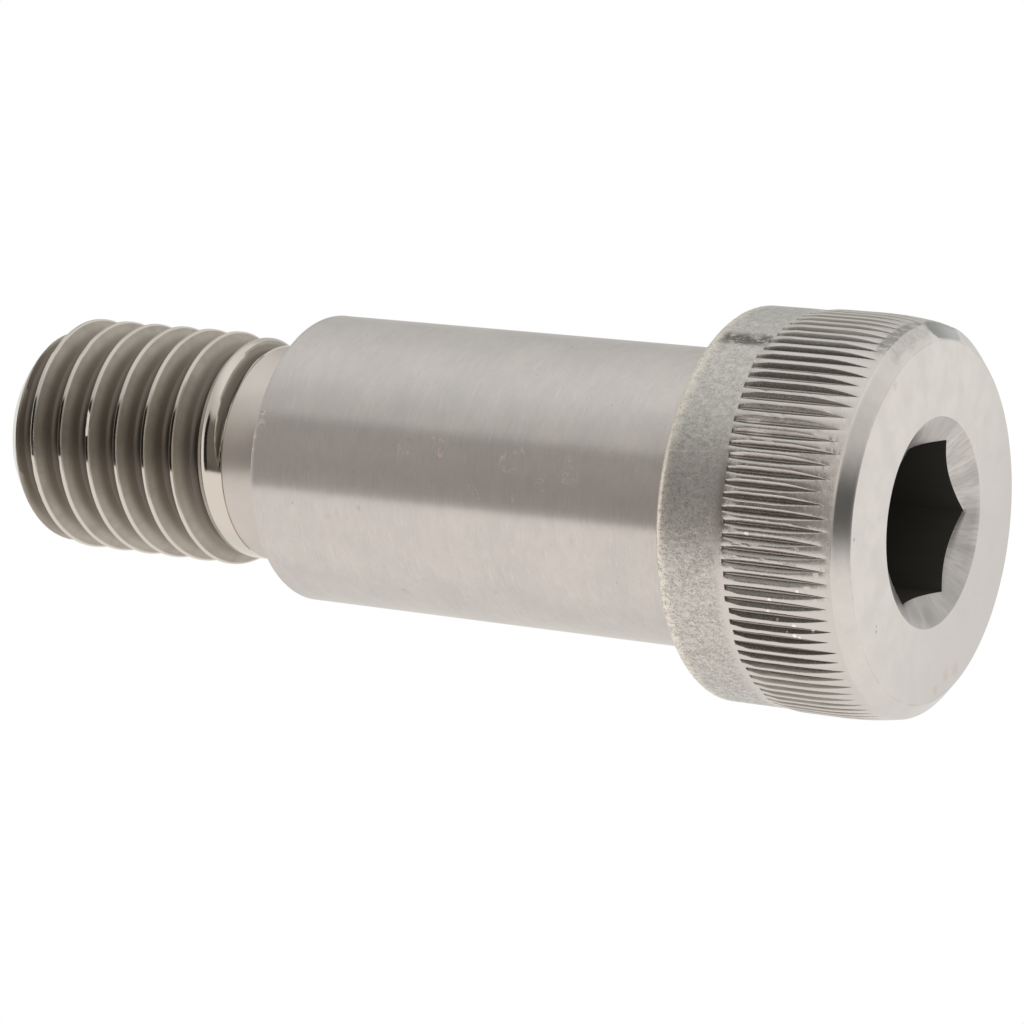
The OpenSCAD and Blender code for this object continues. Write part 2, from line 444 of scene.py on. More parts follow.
thread = {
    "radius": 7.875,
    "pitch": 2.309,
    "crestAtZero": 11.314,  # height of a crest on +X
    "blankR": 7.215,  # what the thread was rolled on
    "crestFade": (49.0, 51.5),
    # how much of the groove there is, by the height of its root
    "grooveFade": [(48.64, 0.0), (48.7, 0.06), (48.83, 0.24), (48.95, 0.5), (49.1, 0.7), (49.4, 1.0)],
    # the fading crest is a hump with a long slope to the neck: (pitches from its middle, share of
    # its height)
    "hump": [(-0.64, 0.0), (-0.125, 0.97), (-0.06, 1.0), (0.02, 1.0), (0.048, 0.88), (0.125, 0.05),
             (0.21, 0.0)],
    "tipChamfer": 1.8,
    "steps": 128,
    # one side of the groove in shares of the pitch, with depths below the crest
    "flank": [(0.125, 0.3), (0.168, 0.47), (0.21, 0.64), (0.27, 0.88), (0.33, 1.12), (0.355, 1.19),
              (0.385, 1.245), (0.42, 1.285), (0.46, 1.308)],
    "crest": [(-0.06, 0.009), (0.012, 0.0), (0.048, 0.054)],
    "rootDepth": 1.315,
    # how uneven rolling left the crests: all round, and in lumps
    "crestWear": (0.006, 0.016),
    # knocks in the crests: (from angle, to angle, soft), (lowest, highest, soft), depth, if patchy
    "knocks": [((-145, -120, 4), (61, 66, 0.6), 0.06, True), ((-68, -62, 1), (61, 66, 0.6), 0.07, False),
               ((-108, -103, 1), (59, 60, 0.2), 0.09, False)],
    "endEdge": 0.06,  # width of the narrow ring round the end
}


def threadForm():
    root, flank = thread["rootDepth"], thread["flank"]
    low = [(-share, depth) for share, depth in reversed(flank)]
    return [(-0.5, root)] + low + thread["crest"] + flank + [(0.5, root)]


def crestNicks(place, angle):
    # how deep the crests were knocked here
    deep = 0
    for turn, rise, depth, patchy in thread["knocks"]:
        share = within(angle, *turn) * within(place.z, *rise)
        deep += depth * share * (max(0, 0.4 + lumps(place, 0.5, 10)) if patchy else 1)
    return deep


def humpRise(z, off):
    # the fading crest, and how much of its full form it has
    share = fade(z - off * thread["pitch"], *thread["crestFade"])
    crisp = fade(share, 0.3, 0.95)
    return share * between(thread["hump"], off) * (1 - crisp), share * crisp


def shapeThread(piece):
    radius, blankR, pitch = thread["radius"], thread["blankR"], thread["pitch"]
    tipR = radius - thread["tipChamfer"]
    high = radius - blankR
    allRound, inLumps = thread["crestWear"]
    mesh = piece.data
    pressed = mesh.attributes.new("pressed", "FLOAT", "POINT")
    shares = []
    for vertex in mesh.vertices:
        x, y, z = vertex.co
        angle = atan2(y, x)
        full = hypot(x, y)
        rise = full - blankR
        # how far this point is from its crest's middle, and how much of that crest and groove there is
        off = ((z - thread["crestAtZero"]) / pitch - angle / (2 * pi) + 0.5) % 1 - 0.5
        hump, formed = humpRise(z, off)
        if off > 0.3:
            hump = max(hump, humpRise(z, off - 1)[0])
        root = z - (off + 0.5) * pitch if off < 0 else z + (0.5 - off) * pitch
        groove = between(thread["grooveFade"], root)
        # a shallow groove is cut by the tip of the die's ridge only
        cut = max(0, -rise - (1 - groove) * (thread["rootDepth"] - high))
        if rise < 0:
            worn = blankR - cut + high * hump * (1 - 0.6 * groove)
        else:
            worn = blankR + formed * rise + high * hump
        # rolled crests are a little uneven
        crest = max(0, 1 - (radius - full) / 0.12)
        uneven = allRound + inLumps * lumps(vertex.co, 1.3, 4)
        worn -= crest * (uneven + crestNicks(vertex.co, degrees(angle)))
        # for the colour: how far down the groove this is, where the pale top of the crest ends; it sets the
        # painted shade in the groove
        deep = min(1, max(0, radius - full) / thread["rootDepth"])
        side = fade(off, 0.048, 0.09) * fade(z, 48.9, 49.5)
        top = 0.21 - 0.15 * fade(formed, 0, 1)  # wide where the crest fades, narrow where it is whole
        if rise < 0:
            deep *= fade(cut, 0, 0.02)
        elif off < 0:
            deep *= min(1, max(0, (-off - top) / 0.06))
        else:
            deep *= max(formed, side)
        chamferR = tipR + max(-0.5, tipZ - z)
        shares.append(deep * fade(chamferR - worn, 0, 0.1))
        worn = min(worn, chamferR)
        vertex.co = (worn * cos(angle), worn * sin(angle), z)
    pressed.data.foreach_set("value", shares)


def cutThread(piece):
    pick(piece)
    bpy.ops.object.mode_set(mode="EDIT")
    bpy.ops.mesh.select_all(action="SELECT")
    bpy.ops.mesh.bisect(
        plane_co=(0, 0, landZ), plane_no=(0, 0, 1), clear_inner=True, use_fill=False, threshold=0.0001
    )
    bpy.ops.mesh.select_all(action="SELECT")
    bpy.ops.mesh.bisect(
        plane_co=(0, 0, tipZ), plane_no=(0, 0, 1), clear_outer=True, use_fill=True, threshold=0.0001
    )
    # the fresh end is still selected
    bpy.ops.mesh.inset(thickness=thread["endEdge"], depth=0)
    bpy.ops.mesh.poke()
    bpy.ops.object.mode_set(mode="OBJECT")


def makeThread():
    pitch = thread["pitch"]
    base = thread["crestAtZero"]
    while base < landZ - 2.7 * pitch:  # well below the neck's end, which is cut off later
        base += pitch
    turns = ceil((tipZ - base) / pitch) + 1
    outline = [(thread["radius"] - deep, base + share * pitch) for share, deep in threadForm()]
    piece = drawOutline("thread", outline)
    windOutline(piece, thread["steps"], pitch, turns)
    shapeThread(piece)
    cutThread(piece)
    print("thread rolled")
    return piece


# The skins are joined by bridging their open rims

seams = [
    # the lowest and highest place of the two rims, and their smallest and largest radius
    ((-hair, hair), (6.9, 11)),  # face, between the countersink and the ring
    ((head["height"] - hair, head["height"] + hair), (10.1, 11.3)),  # bearing face
    ((shoulderEnd - hair, shoulderEnd + hair), (7.2, 9.3)),  # far end of the shoulder
    ((landZ - 0.04, landZ + 0.01), (6, 7.5)),  # neck and thread
]


def bridgeRims(piece, heights, radii):
    (low, high), (inner, outer) = heights, radii
    pick(piece)
    bpy.ops.object.mode_set(mode="EDIT")
    bpy.ops.mesh.select_mode(type="EDGE")
    bpy.ops.mesh.select_all(action="DESELECT")
    bpy.ops.mesh.select_non_manifold(
        extend=False, use_wire=False, use_boundary=True, use_multi_face=False,
        use_non_contiguous=False, use_verts=False
    )
    bpy.ops.object.mode_set(mode="OBJECT")
    mesh = piece.data
    for edge in mesh.edges:
        if edge.select:
            ends = [mesh.vertices[i].co for i in edge.vertices]
            edge.select = all(low < end.z < high and inner < hypot(end.x, end.y) < outer for end in ends)
    bpy.ops.object.mode_set(mode="EDIT")
    bpy.ops.mesh.bridge_edge_loops()
    bpy.ops.object.mode_set(mode="OBJECT")


def makeBolt():
    skins = [makeHead(), makeSocket(), makeShoulder(), makeNeck(), makeThread()]
    bpy.ops.object.select_all(action="DESELECT")
    for skin in skins:
        skin.select_set(True)
    bpy.context.view_layer.objects.active = skins[0]
    bpy.ops.object.join()
    bolt = bpy.context.object
    bolt.name = bolt.data.name = "finished_bolt"
    for heights, radii in seams:
        bridgeRims(bolt, heights, radii)
    pick(bolt)
    bpy.ops.object.mode_set(mode="EDIT")
    bpy.ops.mesh.select_all(action="SELECT")
    bpy.ops.mesh.remove_doubles(threshold=weld)
    bpy.ops.mesh.normals_make_consistent(inside=False)
    bpy.ops.transform.resize(value=(1 / metre,) * 3, center_override=(0, 0, 0))
    bpy.ops.object.mode_set(mode="OBJECT")
    bpy.ops.object.shade_smooth_by_angle(angle=radians(27))  # sharper edges stay crisp
    print("bolt joined:", len(bolt.data.vertices), "vertices")
    return bolt


# Shader sums


class Wire:
    # a node's output that can stand in a sum
    def __init__(self, board, socket):
        self.board, self.socket = board, socket

    def maths(self, operation, first, second):
        return self.board.add("Math", {"operation": operation}, {0: first, 1: second})

    def __add__(self, other):
        return self.maths("ADD", self, other)

    def __radd__(self, other):
        return self.maths("ADD", other, self)

    def __sub__(self, other):
        return self.maths("SUBTRACT", self, other)

    def __rsub__(self, other):
        return self.maths("SUBTRACT", other, self)

    def __mul__(self, other):
        return self.maths("MULTIPLY", self, other)

    def __rmul__(self, other):
        return self.maths("MULTIPLY", other, self)

    def __truediv__(self, other):
        return self.maths("DIVIDE", self, other)

    def __rtruediv__(self, other):
        return self.maths("DIVIDE", other, self)

    def __gt__(self, other):
        return self.maths("GREATER_THAN", self, other)

    def __lt__(self, other):
        return self.maths("LESS_THAN", self, other)


class Board:
    # the nodes of one material or of the world
    def __init__(self, owner):
        owner.use_nodes = True
        self.tree = owner.node_tree
        self.tree.nodes.clear()

    def add(self, kind, settings=None, inputs=None, output=0):
        node = self.tree.nodes.new("ShaderNode" + kind)
        for name, value in (settings or {}).items():
            setattr(node, name, value)
        for name, value in (inputs or {}).items():
            if isinstance(value, Wire):
                self.tree.links.new(value.socket, node.inputs[name])
            else:
                node.inputs[name].default_value = value
        return Wire(self, node.outputs[output]) if len(node.outputs) else node

    def ease(self, value, low, high, start=0.0, end=1.0):
        # start below low, end above high, smooth between
        inputs = {"Value": value, 1: low, 2: high, 3: start, 4: end}
        return self.add("MapRange", {"interpolation_type": "SMOOTHSTEP"}, inputs)

    def window(self, value, low, high, soft):
        # 1 between low and high, 0 outside
        rising = self.ease(value, low - soft, low + soft)
        return rising * self.ease(value, high - soft, high + soft, 1.0, 0.0)

    def mix(self, share, first, second):
        # colours, where share is 1 for the second
        inputs = {0: share, 6: first, 7: second}
        return self.add("Mix", {"data_type": "RGBA"}, inputs, output=2)

    def coats(self, paint, ground, shares):
        # one colour of a dictionary, with others laid over it in turn
        colour = paint[ground]
        for name, share in shares.items():
            colour = self.mix(share, colour, paint[name])
        return colour

    def vector(self, operation, first, second=(0, 0, 0), output=0):
        return self.add("VectorMath", {"operation": operation}, {0: first, 1: second}, output=output)

    def dot(self, first, second):
        return self.vector("DOT_PRODUCT", first, second, 1)

    def gap(self, first, second):
        return self.vector("DISTANCE", first, second, 1)

    def stretch(self, place, amounts):
        return self.vector("MULTIPLY", place, amounts)

    def shift(self, place, by):
        return self.vector("ADD", place, by)

    def largest(self, shares):
        total = shares[0]
        for share in shares[1:]:
            total = self.add("Math", {"operation": "MAXIMUM"}, {0: total, 1: share})
        return total

    def painted(self, name):
        # what was stored on the mesh while it was modelled
        return self.add("Attribute", {"attribute_name": name}, output=2)

    def cloud(self, place, scale, detail=2.0, rough=0.5):
        # noise from 0 to 1
        inputs = {"Vector": place, "Scale": scale, "Detail": detail, "Roughness": rough}
        return self.add("TexNoise", None, inputs)

    def spots(self, place, marks, soft=0.4):
        # 1 on each of a few round marks, given as (angle, radius, height, size)
        return self.largest([
            self.ease(self.gap(place, onBolt(*spot)), size * (1 - soft), size, 1.0, 0.0)
            for *spot, size in marks
        ])

    def curls(self, place, marks, width):
        # 1 on squiggled scratches, given as (angle, radius, height, size)
        swerve = self.add("TexNoise", None, {"Vector": place, "Scale": 1.4, "Detail": 3.0}, output=1)
        swerve = self.stretch(self.vector("SUBTRACT", swerve, (0.5, 0.5, 0.5)), (2.2,) * 3)
        place = self.shift(place, swerve)
        return self.largest([
            self.window(self.gap(place, onBolt(*spot)), size, size + width, width * 0.5)
            for *spot, size in marks
        ])


def onBolt(angle, radius, height):
    return (radius * cos(radians(angle)), radius * sin(radians(angle)), height)


def steelBoard(name):
    material = bpy.data.materials.new(name)
    board = Board(material)
    place = board.stretch(board.add("TexCoord", output=3), (metre,) * 3)
    return material, board, place


def steelShader(board, colour, roughness, bumps=None, anisotropic=0.0):
    # bumps is a list of (height, strength, distance in millimetres)
    inputs = {"Base Color": colour, "Metallic": 1.0, "Roughness": roughness}
    normal = None
    for height, strength, depth in bumps or []:
        feed = {"Height": height, "Strength": strength, "Distance": depth / metre}
        if normal:
            feed["Normal"] = normal
        normal = board.add("Bump", None, feed)
        inputs["Normal"] = normal
    if anisotropic:
        inputs["Anisotropic"] = anisotropic
        inputs["Anisotropic Rotation"] = 0.25  # highlights run along the bolt
    shader = board.add("BsdfPrincipled", None, inputs)
    board.add("OutputMaterial", None, {"Surface": shader})


def radiusOf(board, place):
    return board.vector("LENGTH", board.stretch(place, (1, 1, 0)), output=1)


def heightOf(board, place):
    return board.add("SeparateXYZ", None, {0: place}, output=2)


def aroundOf(board, place):
    # the direction out from the axis, for patterns that run round it
    return board.vector("NORMALIZE", board.stretch(place, (1, 1, 0)))


shoulderMarks = {
    # angle round the bolt, radius, height, size
    "curls": [(-101.3, 9.5, 30.4, 0.4), (-105.4, 9.5, 25.25, 0.35), (-103.5, 9.5, 24.9, 0.55),
              (-101.2, 9.5, 24.3, 0.3), (-108.5, 9.5, 20.6, 0.3), (-106.8, 9.5, 20.4, 0.45),
              (-116.1, 9.5, 27.5, 0.35), (-99.4, 9.5, 20.7, 0.25), (-104, 9.5, 33.2, 0.25),
              (-112, 9.5, 22.6, 0.3), (-117, 9.5, 24.4, 0.25)],
    "pits": [(-44.75, 9.5, 24.6, 0.1), (-40.5, 9.5, 21.7, 0.09), (-76.6, 9.5, 32.5, 0.07),
             (-77.2, 9.5, 18.9, 0.08), (-129.2, 9.5, 41.2, 0.09), (-94.75, 9.5, 44.2, 0.12)],
    # bright flecks near the far edge: painted glints
    "glintFlecks": [(-95, 9.5, 44.1, 0.4), (-99, 9.5, 44.0, 0.5), (-104, 9.5, 44.35, 0.35),
               (-109, 9.5, 44.4, 0.3)],
    "smears": [(-166.5, 9.5, 34.4, 0.3), (-162.5, 9.5, 33.6, 0.25), (-147.3, 9.5, 17.5, 0.22),
               (-133, 9.5, 38.6, 0.35), (-128, 9.5, 36.0, 0.3), (-160, 9.5, 27, 0.3)],
}
groundColours = {
    "light": (0.705, 0.66, 0.62, 1),
    "dull": (0.66, 0.622, 0.59, 1),
    "coarse": (0.61, 0.58, 0.55, 1),
    "soft": (0.60, 0.575, 0.55, 1),
    "groove": (0.54, 0.52, 0.495, 1),
    "ridge": (0.80, 0.76, 0.72, 1),
    "dust": (0.42, 0.385, 0.35, 1),
    # painted glint
    "glintFleck": (1.0, 0.90, 0.84, 1),
    "smear": (0.40, 0.36, 0.33, 1),
    # painted glint on the scratches
    "curlGlint": (1.0, 0.83, 0.70, 1),
    # painted shade in the pits
    "pitShade": (0.25, 0.22, 0.20, 1),
}


def groundSteel():
    material, board, place = steelBoard("groundShoulder")
    fine = board.cloud(board.stretch(place, (0.16, 0.16, 14)), 1.0, 2.0, 0.6)
    coarse = board.cloud(board.stretch(place, (0.11, 0.11, 3.6)), 1.0, 3.0, 0.65)
    short = board.cloud(board.stretch(place, (0.9, 0.9, 11)), 1.0, 2.0, 0.6)
    clouds = board.cloud(place, 0.22, 3.0, 0.55)
    soft = board.cloud(board.stretch(place, (0.8, 0.8, 1.3)), 1.0, 4.0, 0.65)
    dust = board.cloud(place, 4.2, 3.0, 0.65)
    # painted glints near the far edge
    glintFlecks = board.spots(place, shoulderMarks["glintFlecks"], 0.8)
    # real scratches, painted bright as glints
    curls = board.curls(place, shoulderMarks["curls"], 0.06)
    curls *= board.ease(board.cloud(place, 1.1), 0.40, 0.50)
    # painted shade: darker in the pits
    pits = board.spots(place, shoulderMarks["pits"], 0.7)
    smears = board.spots(place, shoulderMarks["smears"], 0.9) * board.ease(short, 0.45, 0.6)
    colour = board.coats(groundColours, "light", {
        "dull": board.ease(clouds, 0.35, 0.7),
        "coarse": board.ease(coarse, 0.45, 0.7) * 0.12,
        "soft": board.ease(soft, 0.4, 0.65) * 0.35,
        "groove": board.ease(short, 0.56, 0.72) * 0.3,
        "ridge": board.ease(short, 0.3, 0.42, 1.0, 0.0) * 0.4,
        "dust": board.ease(dust, 0.62, 0.72) * 0.3,
        "glintFleck": glintFlecks * board.ease(dust, 0.5, 0.54) * 0.8,
        "smear": smears * 0.5,
        "curlGlint": curls * 0.85,
        "pitShade": pits * 0.55,
    })
    roughness = 0.28 + 0.05 * coarse + 0.03 * clouds + 0.1 * curls
    bumps = [(fine, 0.5, 0.010), (short, 0.4, 0.010), (coarse, 0.3, 0.01), (1 - pits, 0.4, 0.02)]
    steelShader(board, colour, roughness, bumps, 0.97)
    return material


faceMarks = {
    "stains": [(129.5, 10.46, 0, 0.7), (145.3, 10.63, 0, 0.5), (137, 10.2, 0, 0.6), (-63.2, 10.9, 0, 0.5)],
    "blots": [(-117.7, 10.86, 0, 0.16), (161.3, 6.42, 0, 0.2), (-156.5, 9.43, 0, 0.16),
              (-155.0, 9.2, 0, 0.12)],
}
faceColours = {
    "light": (0.74, 0.705, 0.665, 1),
    "dull": (0.69, 0.655, 0.62, 1),
    "swirl": (0.66, 0.63, 0.60, 1),
    "ring": (0.64, 0.61, 0.575, 1),
    # painted shade for the darker side of the face
    "far": (0.60, 0.575, 0.55, 1),
    "edge": (0.52, 0.43, 0.38, 1),
    "stain": (0.52, 0.47, 0.37, 1),
    "blot": (0.36, 0.34, 0.32, 1),
    "raw": (0.40, 0.385, 0.35, 1),
    "dentDark": (0.16, 0.175, 0.165, 1),
    "dentPale": (0.44, 0.455, 0.45, 1),
}


def dentColour(board, place):
    # the smooth dent is dark at its end next to the rough patch
    share = board.ease(board.dot(place, onBolt(scar["dentAt"] + 90, 1, 0)), -2.2, 2.2)
    return board.mix(share, faceColours["dentDark"], faceColours["dentPale"])


def turnedSteel():
    material, board, place = steelBoard("turnedFace")
    radius, height = radiusOf(board, place), heightOf(board, place)
    rings = board.cloud(board.add("CombineXYZ", None, {0: radius * 5.0, 1: height * 5.0}), 1.0, 3.0, 0.6)
    around = board.stretch(aroundOf(board, place), (2.2, 2.2, 0))
    swirl = board.cloud(board.shift(around, board.stretch(place, (0.25, 0.25, 0.2))), 1.0, 3.0)
    clouds = board.cloud(place, 0.5, 4.0, 0.6)
    grain = board.cloud(place, 9.0, 2.0, 0.6)
    scratch = board.cloud(board.stretch(place, (3.2, 3.2, 1.3)), 1.0, 5.0, 0.75)
    raw, dent = board.painted("raw"), board.painted("dented")
    # painted shade: the face is darker towards one side
    far = board.dot(place, (-0.25, 0.97, 0))
    edge = board.window(radius, head["faceR"] - 0.06, head["faceR"] + 0.01, 0.03)
    stains = board.spots(place, faceMarks["stains"], 0.9) * board.ease(grain, 0.3, 0.6)
    blots = board.spots(place, faceMarks["blots"], 0.6)
    colour = board.coats(faceColours, "light", {
        "dull": board.ease(clouds, 0.35, 0.7),
        "swirl": board.ease(swirl, 0.45, 0.7) * 0.5,
        "ring": board.ease(rings, 0.55, 0.75) * 0.35,
        "far": board.ease(far, -5, 10) * 0.75,
        "edge": edge * 0.5 * board.ease(clouds, 0.35, 0.6),
        "stain": stains * 0.6,
        "blot": blots * 0.6,
        "raw": raw * board.ease(scratch, 0.35, 0.7) * 0.7,
    })
    colour = board.mix(dent * 0.9, colour, dentColour(board, place))
    roughness = 0.19 + 0.06 * clouds + 0.15 * raw
    bumps = [(rings, 0.4, 0.006), (grain, 0.12, 0.005), (scratch * raw, 1.0, 0.16)]
    steelShader(board, colour, roughness, bumps, 0.4)
    return material


countersink = {
    "light": (0.64, 0.605, 0.575, 1),
    "ray": (0.50, 0.475, 0.45, 1),
    "broad": (0.40, 0.38, 0.365, 1),
    "smudge": (0.17, 0.165, 0.16, 1),
    # painted shade for the countersink's low side
    "low": (0.37, 0.355, 0.345, 1),
    # dark smudges: angle, radius, height, size
    "smudges": [(-177, 5.5, 0.57, 0.9), (163, 5.6, 0.55, 1.2), (147, 5.9, 0.35, 0.9)],
}


def countersunkSteel():
    material, board, place = steelBoard("countersink")
    around = board.stretch(aroundOf(board, place), (26, 26, 0))
    rays = board.cloud(board.shift(around, board.stretch(place, (0.3, 0.3, 1.5))), 1.0, 2.0, 0.6)
    broad = board.cloud(board.stretch(aroundOf(board, place), (3, 3, 0)), 1.0, 2.0)
    smudges = board.spots(place, countersink["smudges"], 0.8) * board.ease(rays, 0.3, 0.55, 1.0, 0.4)
    # painted shade: the countersink is darker towards the low side
    side = board.dot(place, onBolt(lowSide, 1, 0))
    colour = board.coats(countersink, "light", {
        "ray": board.ease(rays, 0.35, 0.7),
        "broad": board.ease(broad, 0.42, 0.62) * 0.6,
        "smudge": smudges * 0.9,
        "low": board.ease(side, 0.5, 4.5) * 0.5,
    })
    steelShader(board, colour, 0.3, [(rays, 0.6, 0.02)])
    return material


knurlMarks = {
    # painted glints on nicks in the ridges, and painted highlights in the grooves
    "nickGlints": [(-136.2, 12.55, 4.9, 0.16), (-139.8, 12.55, 5.1, 0.14), (-141.4, 12.55, 5.85, 0.13),
              (-142.1, 12.55, 4.6, 0.17), (-143.8, 12.55, 3.5, 0.18), (-146.9, 12.55, 3.6, 0.17),
              (-147.5, 12.5, 3.3, 0.15), (-145.1, 12.4, 2.4, 0.16), (-133.0, 12.5, 3.0, 0.13),
              (-137.5, 12.5, 3.5, 0.13), (-118.2, 12.6, 6.3, 0.2), (-129.4, 12.6, 5.3, 0.13),
              (-114.9, 12.6, 5.6, 0.12), (-130.7, 12.55, 3.8, 0.13), (-146.2, 12.5, 4.1, 0.12)],
    "grooveHighlight": [(-85.6, 12.4, 7.2, 0.8), (-89.5, 12.4, 6.6, 1.0), (-93.2, 12.4, 7.3, 0.7),
              (-96.8, 12.4, 7.6, 0.6)],
}
bandColours = {
    "light": (0.67, 0.645, 0.605, 1),
    "dull": (0.56, 0.54, 0.505, 1),
    # painted highlight near the rim
    "rim": (0.93, 0.87, 0.77, 1),
    "speck": (0.34, 0.32, 0.285, 1),
    # painted glint
    "glintFleck": (0.95, 0.91, 0.84, 1),
    "crack": (0.22, 0.20, 0.17, 1),
    "torn": (0.18, 0.165, 0.145, 1),
}
knurlColours = {
    "ridge": (0.67, 0.635, 0.595, 1),
    # painted shade in the grooves
    "groove": (0.42, 0.39, 0.35, 1),
    # painted shade, deeper towards the high and low sides
    "grooveEndShade": (0.21, 0.195, 0.17, 1),
    "streak": (0.40, 0.365, 0.33, 1),
    # painted highlight in the grooves
    "grooveHighlight": (0.95, 0.89, 0.80, 1),
    # painted glint
    "nickGlint": (1.0, 0.98, 0.93, 1),
}


def forgedSteel():
    material, board, place = steelBoard("knurledHead")
    pressed, raw, dent = board.painted("pressed"), board.painted("raw"), board.painted("dented")
    height = heightOf(board, place)
    onBand = board.ease(height, head["knurlEnd"] - 0.5, head["knurlEnd"] + 0.4)
    side = board.dot(place, onBolt(lowSide, 1, 0))
    rough = board.ease(side, -6, 8, 0.55, 1.0)  # dark specks, cracks and painted glints are stronger towards the low side
    mottle = board.cloud(place, 2.4, 5.0, 0.75)
    specks = board.cloud(place, 5.5, 5.0, 0.8)
    # bright flecks on the rough band: painted glints
    glintFlecks = board.cloud(board.stretch(place, (1, 1, 1.6)), 9.5, 3.0, 0.7)
    grain = board.cloud(place, 14.0, 2.0, 0.6)
    cracks = board.cloud(board.stretch(place, (1.3, 1.3, 0.7)), 1.5, 4.0, 0.75)
    streaks = board.cloud(board.stretch(place, (3.5, 3.5, 0.35)), 1.0, 3.0, 0.65)
    scratch = board.cloud(board.stretch(place, (3.2, 3.2, 1.3)), 1.0, 5.0, 0.75)

    plain = board.coats(bandColours, "light", {
        "dull": board.ease(mottle, 0.38, 0.62),
        # painted highlight: lighter towards the rim
        "rim": board.ease(height, 11.6, 12.4) * 0.8,
        "speck": board.ease(specks, 0.55, 0.60) * 0.8 * rough,
        "glintFleck": board.ease(glintFlecks, 0.58, 0.65) * 0.8 * rough,
        "crack": board.window(cracks, 0.488, 0.512, 0.006) * 0.85 * rough,
    })

    # painted shade: the grooves are darker the deeper in
    inGroove = board.ease(pressed, 0.0, 0.3)
    # darker again towards the high and low sides: painted shade
    ends = board.ease(side, 2, 9) * 1.15 + board.ease(side, -12, -6, 1.0, 0.0)
    # painted highlights in the grooves
    grooveHighlight = board.spots(place, knurlMarks["grooveHighlight"], 0.8)
    grooveHighlight *= board.ease(pressed, 0.2, 0.5) * board.ease(streaks, 0.4, 0.55)
    grooved = board.coats(knurlColours, "ridge", {
        "groove": board.ease(pressed, 0.05, 0.6),
        "grooveEndShade": ends * inGroove * 0.75,
        "streak": board.ease(streaks, 0.48, 0.62) * 0.5 * inGroove,
        "grooveHighlight": grooveHighlight * 0.6,
        # painted glints on nicks
        "nickGlint": board.spots(place, knurlMarks["nickGlints"], 0.5),
    })

    colour = board.mix(onBand, grooved, plain)
    colour = board.mix(raw * board.ease(scratch, 0.4, 0.5) * 0.9, colour, bandColours["torn"])
    colour = board.mix(dent * 0.9, colour, dentColour(board, place))
    roughness = 0.2 + 0.14 * onBand + 0.12 * mottle + 0.1 * raw
    bumps = [(specks, 0.35, 0.03), (mottle, 0.3, 0.05), (grain, 0.3, 0.006), (streaks, 0.4, 0.02)]
    steelShader(board, colour, roughness, bumps + [(scratch * raw, 1.0, 0.16)])
    return material


# the flanks are painted darker than the crests, darker still down the groove and darkest at the root:
# painted shade
threadColours = {
    "crest": (0.69, 0.64, 0.575, 1),
    "flank": (0.44, 0.405, 0.345, 1),
    "dullFlank": (0.38, 0.34, 0.295, 1),
    "streak": (0.32, 0.28, 0.24, 1),
    "low": (0.28, 0.245, 0.21, 1),
    "root": (0.14, 0.12, 0.10, 1),
}


def rolledSteel():
    material, board, place = steelBoard("rolledThread")
    pressed = board.painted("pressed")
    clouds = board.cloud(place, 0.6, 3.0, 0.6)
    grain = board.cloud(place, 10.0, 2.0, 0.6)
    streaks = board.cloud(board.stretch(place, (0.4, 0.4, 7)), 1.0, 2.0)
    # painted shade: darker down the flanks, darkest at the root
    flank = board.coats(threadColours, "flank", {
        "dullFlank": board.ease(clouds, 0.35, 0.7),
        "streak": board.ease(streaks, 0.5, 0.75) * 0.3,
        "low": board.ease(pressed, 0.3, 0.75),
        "root": board.ease(pressed, 0.8, 1.0),
    })
    low = board.ease(pressed, 0.04, 0.12)
    roughness = 0.09 + 0.27 * low + 0.04 * clouds  # rolled crests shine
    bumps = [(streaks, 0.3, 0.004), (grain, 0.2, 0.002)]
    steelShader(board, board.mix(low, threadColours["crest"], flank), roughness, bumps)
    return material


def neckSteel():
    material, board, place = steelBoard("turnedNeck")
    rings = board.cloud(board.stretch(place, (0.2, 0.2, 9)), 1.0, 2.0)
    clouds = board.cloud(place, 0.6, 3.0, 0.6)
    colour = board.mix(board.ease(clouds, 0.35, 0.7), (0.65, 0.60, 0.55, 1), (0.62, 0.575, 0.53, 1))
    steelShader(board, colour, 0.33 + 0.06 * clouds, [(rings, 0.35, 0.008)], 0.4)
    return material


def paintedShadeSocket():
    # the socket's walls are painted near black: painted shade in the hole
    material, board, place = steelBoard("paintedShadeSocket")
    marks = board.cloud(board.stretch(place, (3, 3, 0.3)), 1.0, 2.0)
    colour = board.mix(marks, (0.046, 0.043, 0.036, 1), (0.058, 0.054, 0.046, 1))
    inputs = {"Base Color": colour, "Roughness": 0.7, "Specular IOR Level": 0.1}
    board.add("OutputMaterial", None, {"Surface": board.add("BsdfPrincipled", None, inputs)})
    return material


def finishAt(place):
    # which finish a face has, by its centre
    r, z = hypot(place.x, place.y), place.z
    coneZ = (socket["mouthR"] - r) / tan(radians(socket["mouthAngle"]))
    if z > tipZ - 0.01:
        return "neck"  # the end is turned as the neck is
    if z > landZ - 0.02:
        return "thread"
    if z > shoulderEnd + hair:
        return "neck"
    if z > head["height"] + hair:
        return "shoulder"
    if r < socket["mouthR"] and z < head["height"] - 1:
        return "countersink" if abs(z - coneZ) < 0.03 else "socket"
    return "face" if z < head["ringHeight"] - 0.06 else "head"


def dressBolt(bolt):
    finishes = {
        "head": forgedSteel, "face": turnedSteel, "countersink": countersunkSteel, "socket": paintedShadeSocket,
        "shoulder": groundSteel, "neck": neckSteel, "thread": rolledSteel,
    }
    slots = list(finishes)
    bolt.data.materials.clear()
    for makeFinish in finishes.values():
        bolt.data.materials.append(makeFinish())
    for face in bolt.data.polygons:
        face.material_index = slots.index(finishAt(face.center * metre))
    print("bolt dressed in", len(slots), "finishes")


# Camera, light and floor

